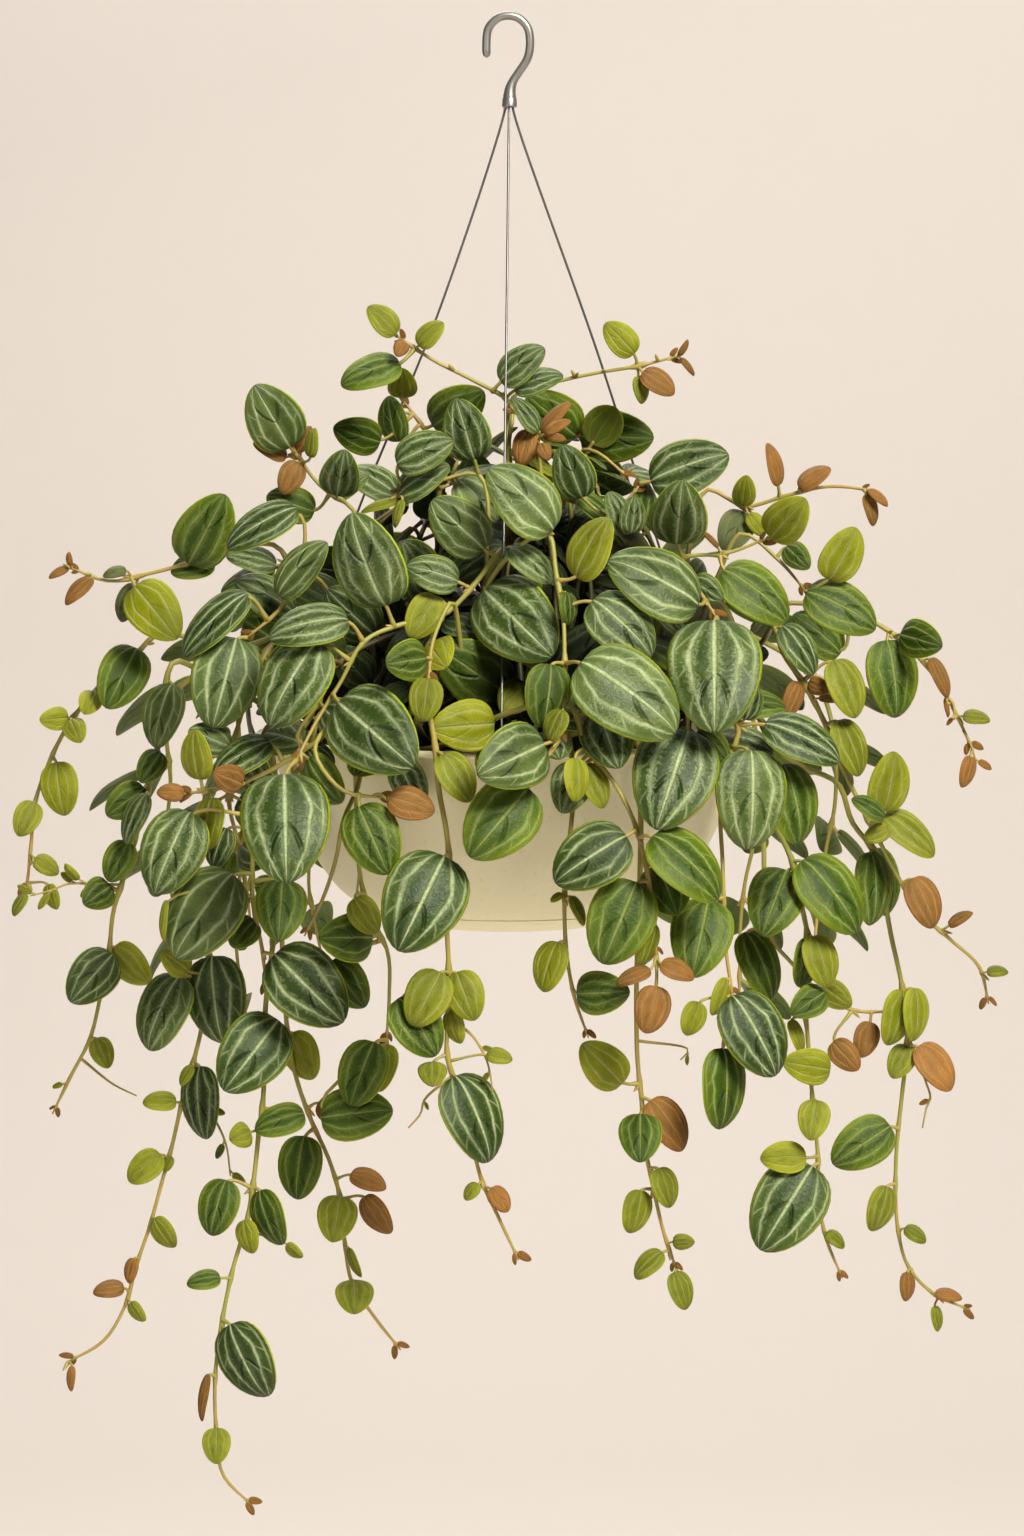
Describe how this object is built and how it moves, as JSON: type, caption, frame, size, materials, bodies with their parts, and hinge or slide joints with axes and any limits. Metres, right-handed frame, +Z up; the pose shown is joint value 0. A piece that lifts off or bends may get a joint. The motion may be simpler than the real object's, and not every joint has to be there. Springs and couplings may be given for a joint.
{
  "type": "potted watermelon dischidia",
  "caption": "Shallow cream bowl pot hanging on three thin wires and a hook, overflowing with long trailing stems of thick oval leaves.",
  "frame": {"origin": "inner top of the hook, the point that the part hangs from", "axes": "+Z up along the hanging line, +X to the viewer's right, +Y away from the viewer"},
  "size_m": [0.481, 0.3758, 0.7249],
  "materials": {
    "hook_metal": "satin",
    "wire_metal": "satin",
    "pot_plastic": "matte",
    "soil": "rough",
    "leaf_dark": "satin",
    "leaf_mid": "satin",
    "leaf_lime": "satin",
    "leaf_copper": "satin"
  },
  "bodies": {
    "root": {"hook": "hook_metal", "wire_back_left": "wire_metal", "wire_back_right": "wire_metal", "wire_front": "wire_metal", "pot": "pot_plastic", "soil": "soil", "vine_crown_left": "leaf_lime", "vine_crown_lime": "leaf_mid", "vine_crown_mid": "leaf_dark", "vine_left_copper": "leaf_dark", "vine_crown_copper": "leaf_copper", "vine_crown_right": "leaf_copper", "vine_back_right": "leaf_mid", "vine_right_hero": "leaf_dark", "vine_right_sprig": "leaf_copper", "vine_right_ochre": "leaf_dark", "vine_right_front": "leaf_dark", "vine_right_pink": "leaf_mid", "vine_right_upper_trail": "leaf_mid", "vine_right_trail": "leaf_mid", "vine_right_long": "leaf_mid", "vine_right_mid_trail": "leaf_mid", "vine_right_diagonal": "leaf_mid", "vine_right_front_trail": "leaf_dark", "vine_front_right": "leaf_dark", "vine_front_long": "leaf_lime", "vine_front_thin": "leaf_mid", "vine_front_centre": "leaf_dark", "vine_front_left": "leaf_dark", "vine_left_copper_branch": "leaf_dark", "vine_front_copper_branch": "leaf_copper", "vine_centre_small": "leaf_lime", "vine_front_trail": "leaf_dark", "vine_left_sprig": "leaf_lime", "vine_left_upper": "leaf_dark", "vine_left_outer": "leaf_lime", "vine_left_long": "leaf_dark", "vine_left_front_trail": "leaf_dark", "vine_lower_left": "leaf_dark", "vine_lowest_left": "leaf_mid", "vine_lower_pink": "leaf_lime", "vine_lower_centre_left": "leaf_mid", "vine_left_stub": "leaf_lime", "vine_rear_right": "leaf_mid", "vine_rear_right_inner": "leaf_mid", "vine_rear_right_back": "leaf_mid", "vine_rear_middle_right": "leaf_mid", "vine_rear_middle": "leaf_mid", "vine_rear_middle_left": "leaf_mid", "vine_rear_left_back": "leaf_mid", "vine_rear_left_inner": "leaf_mid", "vine_rear_left": "leaf_mid", "vine_rear_crown": "leaf_mid"}
  },
  "joints": []
}
